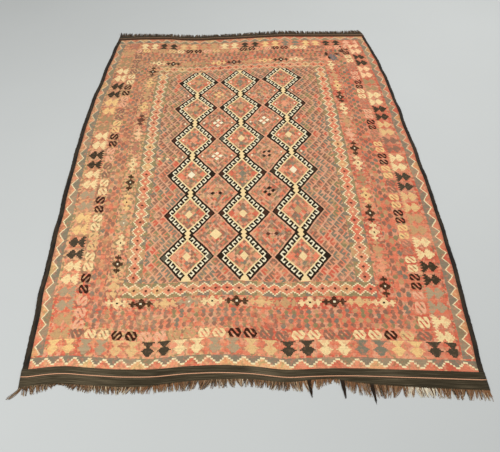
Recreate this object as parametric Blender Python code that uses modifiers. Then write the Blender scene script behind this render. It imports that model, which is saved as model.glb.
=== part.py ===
"""A flat-woven kilim rug of about two metres by three, lying flat.

One woven cloth with a plain band across each end, a wound selvedge down each side
between the bands, and a fringe of warp locks at each end. Metres, +Z up. +X runs
across the rug, +Y along it to the far end, and the origin is on the floor under its middle.
"""

from math import pi, radians

import bmesh
import bpy
import numpy as np
from mathutils import Matrix

# Overall size
HALF_WIDE = 1.033  # widest place to the middle, selvedge included
HALF_LONG = 1.56  # longest lock of either fringe to the middle
CORNER_HALF = 0.958  # about half the width at the woven ends

# Pieces
CLOTH_THICK = 0.003
LEFT_SELVEDGE_WIDE = 0.027
RIGHT_SELVEDGE_WIDE = 0.022
SELVEDGE_THICK = 0.006
SELVEDGE_ROUND = 0.0022
SELVEDGE_CORNER = radians(50.0)  # edges sharper than this are rounded
PIECE_GAP = 0.0004
STRIP_DEEP = 0.006  # the row of knots that a fringe hangs from
STRIP_THICK = 0.003
STRIP_GAP = 0.0006

# Divisions
CLOTH_COLUMNS = 24
FIELD_ROWS = 52
BAND_ROWS = 2
LOCKS = 130
LOCK_STEPS = 2

# The rug draws in from its middle to its ends: along, left half width, right half width
SIDES = np.array(
    [
        (-1.50, 0.950, 0.955),
        (-1.25, 0.967, 0.974),
        (-0.95, 0.989, 1.002),
        (-0.60, 1.006, 1.021),
        (-0.20, 1.023, 1.032),
        (0.30, 1.033, 1.029),
        (0.55, 1.028, 1.027),
        (0.85, 1.010, 1.020),
        (1.15, 0.994, 1.000),
        (1.50, 0.964, 0.955),
    ]
)
LEFT_HALF, RIGHT_HALF = 1, 2

# The long edges wander by these waves too: height, length, and where each starts on a side
EDGE_WAVES = (
    (0.0016, 0.33, 1.7, 0.2),
    (0.0010, 0.21, 0.4, 2.1),
)

# The cloth cockles a little along its long edges and lies flat everywhere else
COCKLE_HIGH = 0.004
COCKLE_LONG = 0.41
COCKLE_FROM = 0.70
COCKLE_FULL = 0.98
COCKLE_STOPS = 1.30
COCKLE_FADES = 0.20

# Each end of the rug: across, where the weaving stops, where the dark band starts, fringe length
NEAR_END = np.array(
    [
        (-0.96, -1.490, -1.405, 0.042),
        (-0.84, -1.472, -1.391, 0.030),
        (-0.79, -1.470, -1.390, 0.008),
        (-0.71, -1.475, -1.396, 0.026),
        (-0.45, -1.484, -1.407, 0.032),
        (-0.25, -1.459, -1.390, 0.042),
        (0.00, -1.451, -1.391, 0.034),
        (0.16, -1.464, -1.408, 0.040),
        (0.27, -1.453, -1.404, 0.046),
        (0.34, -1.450, -1.402, 0.020),
        (0.42, -1.463, -1.402, 0.050),
        (0.66, -1.486, -1.409, 0.043),
        (0.96, -1.500, -1.420, 0.045),
    ]
)
FAR_END = np.array(
    [
        (-0.96, 1.481, 1.414, 0.066),
        (-0.80, 1.480, 1.425, 0.055),
        (-0.62, 1.473, 1.419, 0.052),
        (-0.36, 1.450, 1.395, 0.050),
        (-0.18, 1.457, 1.401, 0.045),
        (0.05, 1.475, 1.418, 0.046),
        (0.32, 1.490, 1.436, 0.056),
        (0.62, 1.478, 1.427, 0.048),
        (0.96, 1.475, 1.420, 0.060),
    ]
)
WEAVING_ENDS, BAND_STARTS, FRINGE_LONG = 1, 2, 3

# Locks that stand out from their fringe: across, tip to the middle of the rug, and how
# much further they lean than the locks beside them
NEAR_LONG_LOCKS = (
    (-0.95, 1.538, -0.022),
    (0.24, 1.530, 0.003),
    (0.375, 1.535, 0.002),
    (0.49, HALF_LONG, 0.003),
)
FAR_LONG_LOCKS = (
    (-0.95, 1.556, -0.010),
    (0.15, 1.548, 0.002),
    (0.275, HALF_LONG, -0.002),
)
LOCK_ROOT_WIDE = 0.0080
LOCK_TIP_SHARE = 0.45
LOCK_TIP_THICK_SHARE = 0.6
LOCK_LEAN = 0.007
LOCK_LEAN_WAVE = 0.27
LOCK_LEAN_POWER = 1.5  # a lock leans more and more towards its tip
LOCK_STRAY = 0.0009
LOCK_PLACE_STRAY = 0.0010
LOCK_LEAST_SHARE = 0.80
LOCK_MOST_SHARE = 1.10
LOCK_MARGIN = 0.003  # ordinary locks end at least this far inside the longest one
NEAR_SEED = 11
FAR_SEED = 29

# Linear colours and roughness
CORAL_WOOL = ((0.46, 0.15, 0.09), 0.92)
GOAT_HAIR = ((0.030, 0.026, 0.022), 0.85)
BROWN_WARP = ((0.17, 0.10, 0.055), 0.90)
DARK_WARP = ((0.085, 0.062, 0.045), 0.90)


def clear_scene():
    for thing in list(bpy.data.objects):
        bpy.data.objects.remove(thing)


def smooth_step(share):
    """0 up to 0 and 1 from 1 on, with a soft start and end between."""
    share = np.clip(share, 0.0, 1.0)
    return share * share * (3.0 - 2.0 * share)


def through(table, column, place):
    """A smooth curve through a column of a table, read at a place in its first column.
    At each row it runs as steeply as the line between that row's neighbours."""
    places, values = table[:, 0], table[:, column]
    slopes = np.gradient(values, places)
    row = np.clip(np.searchsorted(places, place) - 1, 0, len(places) - 2)
    step = places[row + 1] - places[row]
    share = (place - places[row]) / step
    swing = share * (1.0 - share)
    straight = values[row] * (1.0 - share) + values[row + 1] * share
    rise = values[row + 1] - values[row]
    before = slopes[row] * step - rise
    after = rise - slopes[row + 1] * step
    return straight + swing * ((1.0 - share) * before + share * after)


def raw_half(side, y):
    """Half the width of the rug at y before its widest place is set."""
    half = through(SIDES, LEFT_HALF if side < 0 else RIGHT_HALF, y)
    for high, long, left_start, right_start in EDGE_WAVES:
        start = left_start if side < 0 else right_start
        half = half + high * np.sin(2.0 * pi * y / long + start)
    return half


def row_share():
    """Shares of the way along the field at which the rows of the mesh lie."""
    return np.linspace(0.0, 1.0, FIELD_ROWS + 1)


def edge_rows(side, inset=0.0):
    """Where the rows of the field meet the long edge, from the near band to the far one."""
    near = through(NEAR_END, BAND_STARTS, side * CORNER_HALF) + inset
    far = through(FAR_END, BAND_STARTS, side * CORNER_HALF) - inset
    return near + (far - near) * row_share()


def outer_half(side, y):
    """Half the width at y, selvedge included, with the widest row at HALF_WIDE."""
    return HALF_WIDE + raw_half(side, y) - raw_half(side, edge_rows(side)).max()


def cockle(x, y):
    """How far the cloth stands off the floor at a place."""
    outward = smooth_step((np.abs(x) - COCKLE_FROM) / (COCKLE_FULL - COCKLE_FROM))
    along = smooth_step((COCKLE_STOPS - np.abs(y)) / COCKLE_FADES)
    wave = np.maximum(0.0, np.sin(2.0 * pi * y / COCKLE_LONG + np.sign(x)))
    return COCKLE_HIGH * outward * along * wave**2


def plain_material(name, finish):
    colour, roughness = finish
    material = bpy.data.materials.new(name)
    material.use_nodes = True
    shader = material.node_tree.nodes["Principled BSDF"]
    shader.inputs["Base Color"].default_value = (*colour, 1.0)
    shader.inputs["Roughness"].default_value = roughness
    shader.inputs["Metallic"].default_value = 0.0
    return material


def unit_grid(columns, rows):
    """A flat mesh of that many cells, one unit each, with its corner at the origin."""
    mesh = bmesh.new()
    bmesh.ops.create_grid(mesh, x_segments=columns, y_segments=rows, size=0.5)
    to_corner = Matrix.Diagonal((columns, rows, 1.0, 1.0)) @ Matrix.Translation((0.5, 0.5, 0.0))
    bmesh.ops.transform(mesh, matrix=to_corner, verts=mesh.verts)
    return mesh


def finish_piece(name, mesh, places, finish, collection, closed=False):
    """Puts each vertex in its place and makes the object."""
    for vertex, place in zip(mesh.verts, places):
        vertex.co = place
    if closed:
        bmesh.ops.recalc_face_normals(mesh, faces=mesh.faces)
    data = bpy.data.meshes.new(name)
    mesh.to_mesh(data)
    mesh.free()
    data.materials.append(plain_material(name, finish))
    piece = bpy.data.objects.new(name, data)
    collection.objects.link(piece)
    return piece


def thicken(piece, thickness):
    solid = piece.modifiers.new("Thickness", "SOLIDIFY")
    solid.thickness = thickness
    solid.offset = 1.0


def unit_places(mesh):
    return np.array([vertex.co[:] for vertex in mesh.verts])


def column_share(column):
    """How far across the field a column of the cloth lies, from -1 to 1. The outermost
    columns belong to the bands alone and count with their neighbours."""
    return np.clip((column - 1) / CLOTH_COLUMNS, 0.0, 1.0) * 2.0 - 1.0


def column_x(column, y):
    """Where a column of the cloth lies across the rug at y."""
    share = column_share(column)
    half = np.where(share < 0, outer_half(-1, y), outer_half(1, y))
    selvedge = np.where(share < 0, LEFT_SELVEDGE_WIDE, RIGHT_SELVEDGE_WIDE)
    in_bands_alone = (column < 0.5) | (column > CLOTH_COLUMNS + 1.5)
    return share * np.where(in_bands_alone, half, half - selvedge - PIECE_GAP)


def line_y(table, line, column):
    """Where a column of the cloth meets one of the lines of an end."""
    return through(table, line, column_share(column) * CORNER_HALF)


def woven_line(table, x):
    """Where the weaving stops at x, on the cloth's own straight stretches."""
    columns = np.arange(CLOTH_COLUMNS + 3)
    y = line_y(table, WEAVING_ENDS, columns)
    return np.interp(x, column_x(columns, y), y)


def make_cloth(collection):
    """The woven cloth. Its bands reach the rug's own edges, and its field stops short of
    them by a selvedge, so the outermost cells are left out between the bands."""
    columns = CLOTH_COLUMNS + 2
    rows = FIELD_ROWS + 2 * BAND_ROWS
    mesh = unit_grid(columns, rows)
    selvedge_cells = []
    for face in mesh.faces:
        middle = face.calc_center_median()
        beside_field = BAND_ROWS < middle.y < rows - BAND_ROWS
        if beside_field and not 1 < middle.x < columns - 1:
            selvedge_cells.append(face)
    bmesh.ops.delete(mesh, geom=selvedge_cells, context="FACES")

    column, row = np.round(unit_places(mesh)[:, :2]).T
    near_end = line_y(NEAR_END, WEAVING_ENDS, column)
    near_band = line_y(NEAR_END, BAND_STARTS, column)
    far_band = line_y(FAR_END, BAND_STARTS, column)
    far_end = line_y(FAR_END, WEAVING_ENDS, column)
    in_near = np.clip(row / BAND_ROWS, 0.0, 1.0)
    in_field = np.clip((row - BAND_ROWS) / FIELD_ROWS, 0.0, 1.0)
    in_far = np.clip((row - BAND_ROWS - FIELD_ROWS) / BAND_ROWS, 0.0, 1.0)
    y = near_end + (near_band - near_end) * in_near
    y = y + (far_band - near_band) * in_field + (far_end - far_band) * in_far
    x = column_x(column, y)
    places = np.stack([x, y, cockle(x, y)], axis=1)
    thicken(finish_piece("kilim_cloth", mesh, places, CORAL_WOOL, collection), CLOTH_THICK)


def make_selvedge(name, side, wide, collection):
    """A flat roll of goat hair along one edge of the field."""
    mesh = unit_grid(1, FIELD_ROWS)
    across, row = np.round(unit_places(mesh)[:, :2]).T
    row = row.astype(int)
    half = outer_half(side, edge_rows(side))[row]
    inward = across if side < 0 else 1.0 - across
    x = side * (half - inward * wide)
    y = edge_rows(side, PIECE_GAP)[row]
    lift = cockle(side * half, edge_rows(side)[row])
    places = np.stack([x, y, lift], axis=1)
    piece = finish_piece(name, mesh, places, GOAT_HAIR, collection)
    piece.data.shade_smooth()
    thicken(piece, SELVEDGE_THICK)
    rounding = piece.modifiers.new("Rounded edges", "BEVEL")
    rounding.width = SELVEDGE_ROUND
    rounding.segments = 2
    rounding.angle_limit = SELVEDGE_CORNER


def woven_corner(table, side):
    """Where the line at which the weaving stops meets the rug's left or right edge."""
    y = through(table, WEAVING_ENDS, side * CORNER_HALF)
    return side * outer_half(side, y)


def lock_shapes(table, long_locks, seed):
    """Middle, length and lean of each lock of a fringe."""
    chance = np.random.default_rng(seed)
    share = (np.arange(LOCKS) + 0.5) / LOCKS
    middle = woven_corner(table, -1) * (1.0 - share) + woven_corner(table, 1) * share
    middle = middle + chance.uniform(-LOCK_PLACE_STRAY, LOCK_PLACE_STRAY, LOCKS)
    root = np.abs(woven_line(table, middle)) + STRIP_GAP + STRIP_DEEP
    long = through(table, FRINGE_LONG, middle)
    long = long * chance.uniform(LOCK_LEAST_SHARE, LOCK_MOST_SHARE, LOCKS)
    long = np.minimum(long, HALF_LONG - LOCK_MARGIN - root)
    lean = LOCK_LEAN * np.sin(2.0 * pi * middle / LOCK_LEAN_WAVE + seed)
    lean = lean + chance.uniform(-LOCK_STRAY, LOCK_STRAY, LOCKS)
    for place, tip, more_lean in long_locks:
        nearest = np.abs(middle - place).argmin()
        long[nearest] = tip - root[nearest]
        lean[nearest] += more_lean
    return middle, long, lean


def make_fringe(name, table, outward, long_locks, seed, finish, collection):
    """A narrow strip along a woven end, with flat four-sided locks drawn out of its outer
    side and level on the floor. The first mesh has unit cells, a gap and a lock by turns,
    and each step of a lock is one unit long."""
    cells = 2 * LOCKS + 1
    mesh = unit_grid(cells, 1)
    raised = bmesh.ops.extrude_face_region(mesh, geom=mesh.faces[:])
    top = [item for item in raised["geom"] if isinstance(item, bmesh.types.BMVert)]
    bmesh.ops.translate(mesh, verts=top, vec=(0.0, 0.0, 1.0))
    ends = []
    for face in mesh.faces:
        middle = face.calc_center_median()
        if middle.y > 0.99 and int(middle.x) % 2 == 1:
            ends.append(face)
    for _ in range(LOCK_STEPS):
        ends = bmesh.ops.extrude_discrete_faces(mesh, faces=ends)["faces"]
        tips = [vertex for face in ends for vertex in face.verts]
        bmesh.ops.translate(mesh, verts=tips, vec=(0.0, 1.0, 0.0))

    column, depth, height = np.round(unit_places(mesh)).T
    middle, long, lean = lock_shapes(table, long_locks, seed)
    lock = np.clip((column.astype(int) - 1) // 2, 0, LOCKS - 1)
    hand = np.where(column % 2 == 1, -0.5, 0.5)
    step = np.clip((depth - 1.0) / LOCK_STEPS, 0.0, 1.0)
    wide = LOCK_ROOT_WIDE * (1.0 - (1.0 - LOCK_TIP_SHARE) * step)
    x = middle[lock] + lean[lock] * step**LOCK_LEAN_POWER + hand * wide
    x = np.where(column == 0, woven_corner(table, -1), x)
    x = np.where(column == cells, woven_corner(table, 1), x)
    root = woven_line(table, np.where(depth > 1.0, middle[lock], x))
    out = STRIP_GAP + np.clip(depth, 0.0, 1.0) * STRIP_DEEP + long[lock] * step
    z = height * STRIP_THICK * (1.0 - (1.0 - LOCK_TIP_THICK_SHARE) * step)
    places = np.stack([x, root + outward * out, z], axis=1)
    finish_piece(name, mesh, places, finish, collection, closed=True)


def make_rug():
    clear_scene()
    rug = bpy.data.collections.new("kilim_rug")
    bpy.context.scene.collection.children.link(rug)
    make_cloth(rug)
    make_selvedge("left_selvedge", -1, LEFT_SELVEDGE_WIDE, rug)
    make_selvedge("right_selvedge", 1, RIGHT_SELVEDGE_WIDE, rug)
    make_fringe("near_fringe", NEAR_END, -1, NEAR_LONG_LOCKS, NEAR_SEED, BROWN_WARP, rug)
    make_fringe("far_fringe", FAR_END, 1, FAR_LONG_LOCKS, FAR_SEED, DARK_WARP, rug)


make_rug()
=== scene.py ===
from math import cos, pi, radians, sin

import bpy
import numpy as np
from mathutils import Matrix, Vector


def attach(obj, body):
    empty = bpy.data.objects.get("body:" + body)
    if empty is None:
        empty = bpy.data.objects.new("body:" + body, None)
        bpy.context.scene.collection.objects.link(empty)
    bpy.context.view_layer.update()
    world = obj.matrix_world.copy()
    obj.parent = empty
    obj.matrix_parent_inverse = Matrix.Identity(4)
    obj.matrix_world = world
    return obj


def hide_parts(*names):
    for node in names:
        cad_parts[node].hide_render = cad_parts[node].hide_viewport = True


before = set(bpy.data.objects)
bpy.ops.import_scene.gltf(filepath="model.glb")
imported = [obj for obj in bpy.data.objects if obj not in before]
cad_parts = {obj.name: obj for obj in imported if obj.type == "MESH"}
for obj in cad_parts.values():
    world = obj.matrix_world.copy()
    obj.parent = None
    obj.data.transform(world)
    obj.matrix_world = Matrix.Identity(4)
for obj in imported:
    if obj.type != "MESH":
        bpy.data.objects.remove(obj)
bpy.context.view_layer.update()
print("frame loaded:", len(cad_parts), "nodes")

# ---- camera ----

cameraValues = {
    "place": (-0.0573, -2.4301, 1.9784),  # metres, from the floor under the middle of the rug
    "pitchDown": 47.156,  # degrees
    "yaw": -1.891,
    "roll": -1.836,
    "lens": 37.19,
    "shift": (0.0534, 0.0017),  # the photograph is framed a little to the right of its own middle
}


def makeCamera(values):
    pitch, yaw, roll = (radians(values[name]) for name in ("pitchDown", "yaw", "roll"))
    ahead = np.array([sin(yaw) * cos(pitch), cos(yaw) * cos(pitch), -sin(pitch)])
    level = np.array([cos(yaw), -sin(yaw), 0.0])
    above = np.cross(level, ahead)
    right = cos(roll) * level + sin(roll) * above
    up = -sin(roll) * level + cos(roll) * above
    data = bpy.data.cameras.new("camera")
    data.lens = values["lens"]
    data.shift_x, data.shift_y = values["shift"]
    camera = bpy.data.objects.new("camera", data)
    axes = np.stack([right, up, -ahead, values["place"]], axis=1)
    camera.matrix_world = Matrix([*axes.tolist(), (0.0, 0.0, 0.0, 1.0)])
    bpy.context.collection.objects.link(camera)
    bpy.context.scene.camera = camera


makeCamera(cameraValues)
print("camera placed")

# ---- shader nodes ----


def maths(operation):
    # a method that adds a Math node
    def made(self, *others):
        values = dict(enumerate((self, *others)))
        return self.shader.node("ShaderNodeMath", {"operation": operation}, values)

    return made


class Socket:
    # an output of a node; arithmetic on it adds Math nodes
    __add__, __sub__, __mul__ = maths("ADD"), maths("SUBTRACT"), maths("MULTIPLY")
    __truediv__, __mod__ = maths("DIVIDE"), maths("FLOORED_MODULO")
    __gt__, __lt__ = maths("GREATER_THAN"), maths("LESS_THAN")
    __abs__, floor, sine = maths("ABSOLUTE"), maths("FLOOR"), maths("SINE")
    least, most, compare = maths("MINIMUM"), maths("MAXIMUM"), maths("COMPARE")

    def __init__(self, shader, link):
        self.shader, self.link = shader, link

    def __neg__(self):
        return self * -1.0

    def __rsub__(self, other):
        return self.shader.node("ShaderNodeMath", {"operation": "SUBTRACT"}, {0: other, 1: self})

    def clamped(self, low, high):
        return self.most(low).least(high)

    def ramp(self, contrast, offset, low, high):
        return (self * contrast - offset).clamped(low, high)

    def between(self, low, high):
        return self.compare((low + high) / 2, (high - low) / 2)


class Shader:
    # the nodes of one material
    def __init__(self, name):
        self.material = bpy.data.materials.new(name)
        self.material.use_nodes = True
        self.tree = self.material.node_tree
        self.principled = self.tree.nodes["Principled BSDF"]

    def node(self, kind, settings, values, output=0):
        made = self.tree.nodes.new(kind)
        for name, setting in settings.items():
            if name == "stops":
                self.setStops(made.color_ramp, setting)
            elif name == "spread":
                made.color_ramp.interpolation = setting
            else:
                setattr(made, name, setting)
        self.fill(made, values)
        return Socket(self, made.outputs[output])

    def fill(self, node, values):
        for name, value in values.items():
            if isinstance(value, Socket):
                self.tree.links.new(value.link, node.inputs[name])
            elif isinstance(value, (tuple, list)) and node.inputs[name].type == "RGBA":
                node.inputs[name].default_value = (*value[:3], 1.0)
            else:
                node.inputs[name].default_value = value

    def setStops(self, ramp, stops):
        while len(ramp.elements) < len(stops):
            ramp.elements.new(1.0)
        for element, (place, colour) in zip(ramp.elements, stops):
            element.position = place
            element.color = colour if len(colour) == 4 else (*colour, 1.0)

    def blend(self, share, first, second):
        return self.node("ShaderNodeMix", {"data_type": "RGBA"}, {0: share, 6: first, 7: second}, output=2)

    def choose(self, share, first, second):
        return self.node("ShaderNodeMix", {"data_type": "FLOAT"}, {0: share, 2: first, 3: second})

    def parts(self, vector):
        made = self.node("ShaderNodeSeparateXYZ", {}, {0: vector}).link.node
        return [Socket(self, made.outputs[place]) for place in range(3)]

    def joined(self, x, y, z=0.0):
        return self.node("ShaderNodeCombineXYZ", {}, {0: x, 1: y, 2: z})

    def scaled(self, colour, share):
        return self.node("ShaderNodeVectorMath", {"operation": "SCALE"}, {0: colour, "Scale": share})

    def noise(self, place, detail=2.0, dimensions="3D", output=0):
        values = {"Vector": place, "Scale": 1.0, "Detail": detail}
        return self.node("ShaderNodeTexNoise", {"noise_dimensions": dimensions}, values, output)

    def hairs(self, acrossScale, alongScale):
        # a place on the object, for a noise that is drawn out along or across it
        x, y, z = self.parts(self.node("ShaderNodeTexCoord", {}, {}, "Object"))
        return self.joined(x * acrossScale, y * alongScale, z * acrossScale)

    def bump(self, height, strength, distance):
        values = {"Strength": strength, "Distance": distance, "Height": height}
        return self.node("ShaderNodeBump", {}, values)

    def steps(self, number, colours):
        # the colour of a whole number: one stop for each, from 0 up
        count = len(colours)
        stops = [(place / count, colour) for place, colour in enumerate(colours)]
        settings = {"spread": "CONSTANT", "stops": stops}
        return self.node("ShaderNodeValToRGB", settings, {0: (number + 0.5) / count})

    def listed(self, number, values, largest):
        # the value that a whole number has in a list
        greys = [(value / largest,) * 3 for value in values]
        return self.node("ShaderNodeRGBToBW", {}, {0: self.steps(number, greys)}) * largest

    def finish(self, **values):
        self.fill(self.principled, {name.replace("_", " "): value for name, value in values.items()})
        return self.material


# ---- outline of the rug, as the frame's solids have it ----

rugValues = {
    "halfWide": 1.033,
    "cornerHalf": 0.958,
    "clothThick": 0.003,
    "selvedgeWide": {-1: 0.027, 1: 0.022},
    "gap": 0.0004,
    # along, left half width, right half width
    "sides": np.array([
        (-1.50, 0.950, 0.955),
        (-1.25, 0.967, 0.974),
        (-0.95, 0.989, 1.002),
        (-0.60, 1.006, 1.021),
        (-0.20, 1.023, 1.032),
        (0.30, 1.033, 1.029),
        (0.55, 1.028, 1.027),
        (0.85, 1.010, 1.020),
        (1.15, 0.994, 1.000),
        (1.50, 0.964, 0.955),
    ]),
    # height, length, and where each wave starts on the left and the right edge
    "edgeWaves": ((0.0016, 0.33, 1.7, 0.2), (0.0010, 0.21, 0.4, 2.1)),
    # across, where the weaving stops, where the dark band starts, fringe length
    "nearEnd": np.array([
        (-0.96, -1.490, -1.405, 0.042),
        (-0.84, -1.472, -1.391, 0.030),
        (-0.79, -1.470, -1.390, 0.008),
        (-0.71, -1.475, -1.396, 0.026),
        (-0.45, -1.484, -1.407, 0.032),
        (-0.25, -1.459, -1.390, 0.042),
        (0.00, -1.451, -1.391, 0.034),
        (0.16, -1.464, -1.408, 0.040),
        (0.27, -1.453, -1.404, 0.046),
        (0.34, -1.450, -1.402, 0.020),
        (0.42, -1.463, -1.402, 0.050),
        (0.66, -1.486, -1.409, 0.043),
        (0.96, -1.500, -1.420, 0.045),
    ]),
    "farEnd": np.array([
        (-0.96, 1.481, 1.414, 0.066),
        (-0.80, 1.480, 1.425, 0.055),
        (-0.62, 1.473, 1.419, 0.052),
        (-0.36, 1.450, 1.395, 0.050),
        (-0.18, 1.457, 1.401, 0.045),
        (0.05, 1.475, 1.418, 0.046),
        (0.32, 1.490, 1.436, 0.056),
        (0.62, 1.478, 1.427, 0.048),
        (0.96, 1.475, 1.420, 0.060),
    ]),
    "cockle": {"high": 0.004, "long": 0.41, "from": 0.70, "full": 0.98, "stops": 1.30, "fades": 0.20},
}
weavingEnds, bandStarts, fringeLong = 1, 2, 3  # columns of the two end tables


def smoothStep(share):
    # share squared times three less twice the share, held between 0 and 1
    share = np.clip(share, 0.0, 1.0)
    return share * share * (3.0 - 2.0 * share)


def through(table, column, place):
    # a cubic between each two rows, as steep at a row as the line between its neighbours
    places, values = table[:, 0], table[:, column]
    slopes = np.gradient(values, places)
    row = np.clip(np.searchsorted(places, place) - 1, 0, len(places) - 2)
    step = places[row + 1] - places[row]
    share = (place - places[row]) / step
    straight = values[row] * (1.0 - share) + values[row + 1] * share
    rise = values[row + 1] - values[row]
    before = slopes[row] * step - rise
    after = rise - slopes[row + 1] * step
    return straight + share * (1.0 - share) * ((1.0 - share) * before + share * after)


def rawHalf(side, y):
    # half width from the table, plus two sines along the edge
    half = through(rugValues["sides"], 1 if side < 0 else 2, y)
    for high, long, leftStart, rightStart in rugValues["edgeWaves"]:
        half = half + high * np.sin(2.0 * pi * y / long + (leftStart if side < 0 else rightStart))
    return half


def fieldEnds(side):
    near = through(rugValues["nearEnd"], bandStarts, side * rugValues["cornerHalf"])
    far = through(rugValues["farEnd"], bandStarts, side * rugValues["cornerHalf"])
    return near, far


def outerHalf(side, y):
    # the raw half width, moved so that the widest of the solids' rows is at its size
    widest = rawHalf(side, np.linspace(*fieldEnds(side), 53)).max()
    return rugValues["halfWide"] + rawHalf(side, y) - widest


def clothHalf(side, y):
    return outerHalf(side, y) - rugValues["selvedgeWide"][side] - rugValues["gap"]


def cockle(x, y):
    # a squared sine along the edge, faded in towards it and out towards the ends
    values = rugValues["cockle"]
    outward = smoothStep((np.abs(x) - values["from"]) / (values["full"] - values["from"]))
    along = smoothStep((values["stops"] - np.abs(y)) / values["fades"])
    wave = np.maximum(0.0, np.sin(2.0 * pi * y / values["long"] + np.sign(x)))
    return values["high"] * outward * along * wave**2


def gridFaces(rows, columns, around=False):
    # four corners for each cell of a grid of points, joined round its columns where it is a tube
    row = np.arange(rows - 1)[:, None] * columns
    column = np.arange(columns if around else columns - 1)[None, :]
    after = (column + 1) % columns
    corners = [row + column, row + after, row + columns + after, row + columns + column]
    return np.stack(corners, axis=-1).reshape(-1, 4)


def makePiece(name, places, faces, material):
    mesh = bpy.data.meshes.new(name)
    mesh.from_pydata(np.asarray(places, dtype=float).reshape(-1, 3), [], faces)
    mesh.polygons.foreach_set("use_smooth", np.full(len(mesh.polygons), True))
    mesh.materials.append(material)
    piece = bpy.data.objects.new(name, mesh)
    bpy.context.collection.objects.link(piece)
    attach(piece, "root")
    return piece


# ---- kilim: colours and layout of the pattern ----

# dyed yarns, linear red, green and blue
yarns = {
    "coral": (0.850, 0.225, 0.118),
    "salmon": (0.860, 0.350, 0.190),
    "brick": (0.680, 0.130, 0.072),
    "pink": (0.860, 0.440, 0.260),
    "cream": (0.920, 0.690, 0.345),
    "white": (0.950, 0.850, 0.580),
    "ivory": (0.920, 0.760, 0.440),
    "straw": (0.890, 0.575, 0.235),
    "buff": (0.790, 0.510, 0.225),
    "tan": (0.580, 0.350, 0.160),
    "olive": (0.285, 0.245, 0.110),
    "sage": (0.400, 0.270, 0.130),
    "dove": (0.450, 0.335, 0.195),
    "peach": (0.950, 0.600, 0.320),
    "slate": (0.225, 0.205, 0.138),
    "steel": (0.165, 0.155, 0.140),
    "rose": (0.470, 0.200, 0.120),
    "mauve": (0.285, 0.150, 0.092),
    "plum": (0.100, 0.034, 0.018),
    "soot": (0.022, 0.012, 0.005),
    "moss": (0.068, 0.050, 0.028),
    "char": (0.050, 0.034, 0.016),
    "umber": (0.042, 0.019, 0.005),
    "cocoa": (0.045, 0.012, 0.004),
    "dusk": (0.038, 0.029, 0.015),
    "rust": (0.070, 0.020, 0.005),
    "bark": (0.085, 0.055, 0.027),
    "pitch": (0.012, 0.009, 0.006),
    "flint": (0.145, 0.112, 0.066),
    "none": (0.0, 0.0, 0.0),
}

layout = {
    "near": 1.400,  # from the middle to the near dark band, in pattern metres
    "far": 1.420,
    "farScale": 1.060,  # the borders at the far end are this much deeper
    "farSlant": 0.060,  # and more so towards the left
    "endWide": 0.93,  # half the width of the cloth at its ends
    "widens": 0.0925,  # and how much wider it is for each metre in from them
    "warp": 0.0026,  # one rib of the weave
    "weft": 0.0012,
    # how far motifs stray: scales of the noise across and along, its detail, metres
    "strays": ((9.0, 7.0, 1.0, 0.009), (85.0, 75.0, 0.0, 0.003)),
    "toneShift": (-0.042, -0.055, 0.893),  # painted shade on the ground: change across, along, its middle
}

# each border line: its outer and inner depth at the ends, then at the sides
borders = {
    "teeth": (0.000, 0.058, 0.000, 0.062),
    "crabs": (0.060, 0.132, 0.070, 0.159),
    "hooks": (0.136, 0.182, 0.168, 0.218),
    "beads": (0.194, 0.290, 0.226, 0.300),
    "crosses": (0.296, 0.360, 0.305, 0.378),
    "chain": (0.360, 0.444, 0.386, 0.474),
}

# where the pairs of crabs lie: (number, place) along each border, and their colours in order
crabPlaces = {
    "near": ((0, -0.8175), (4, -0.265), (8, 0.3625), (11, 0.8175)),
    "far": ((0, -0.85), (1, -0.69), (2, -0.5475), (6, 0.07), (11, 0.835)),
    "left": ((0, -1.205), (3, -0.75), (7, -0.05), (10, 0.50), (12, 0.905), (14, 1.25)),
    "right": ((0, -1.205), (3, -0.745), (7, -0.09), (11, 0.565), (15, 1.235)),
}
crabColours = {
    "ends": "straw dove buff moss cream dove buff moss cream slate straw moss "
    "rose cream char buff tan cream char straw slate straw char pink",
    "sides": "tan dove cream moss straw dove cream char cream sage straw char cream sage tan "
    "cream dove char cream tan buff moss cream mauve buff char cream sage peach char peach",
}
hookPlaces = {
    "near": ((0, -0.6725), (1, -0.5525), (4, -0.165), (7, 0.2475), (10, 0.64), (11, 0.79)),
    "far": ((0, -0.745), (3, -0.355), (6, 0.05), (8, 0.29), (9, 0.43), (11, 0.69)),
    "left": ((0, -1.10), (5, -0.435), (9, 0.135), (16, 1.12)),
    "right": ((0, -1.21), (1, -1.055), (6, -0.53), (10, -0.06), (13, 0.275), (21, 1.20)),
}
hookColours = {
    "nearEnd": "mauve cream cream cocoa cocoa pink pink tan tan cream cream cocoa cocoa mauve mauve "
    "cream cream mauve mauve cream cream cocoa buff mauve mauve",
    "farEnd": "pink straw tan tan buff cream cocoa cocoa pink buff tan salmon cocoa cocoa salmon pink "
    "cocoa plum cream cream mauve mauve salmon pink",
    "leftSide": "pink cocoa cream buff cream cocoa cream mauve pink cocoa straw mauve pink cocoa cream "
    "mauve mauve",
    "rightSide": "cream pink cocoa cream rose straw cocoa straw mauve straw cocoa straw rose cocoa pink "
    "rose cream cocoa pink rose cream cocoa",
}
crossPlaces = {
    "near": ((0, -0.61), (11, 0.615)),
    "far": ((0, -0.605), (5, -0.055), (9, 0.40), (11, 0.62)),
    "left": ((0, -0.98), (3, -0.565), (6, -0.09), (13, 0.945)),
    "right": ((0, -0.98), (3, -0.64), (9, 0.175), (15, 1.0)),
}
crossColours = {
    "ends": "cream umber buff dove cream umber buff tan cream umber buff cream "
    "cream umber tan sage straw umber tan straw umber cream mauve salmon",
    "sides": "buff umber cream dove straw umber cream rose peach plum straw tan straw umber "
    "umber salmon tan cream umber straw sage cream umber pink tan cream umber straw tan cream",
}
crossDots = {"cream": "soot", "umber": "white", "dove": "white", "straw": "soot"}

print("layout ready")


def yarnList(names):
    return [yarns[name] for name in names.split()]


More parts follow.
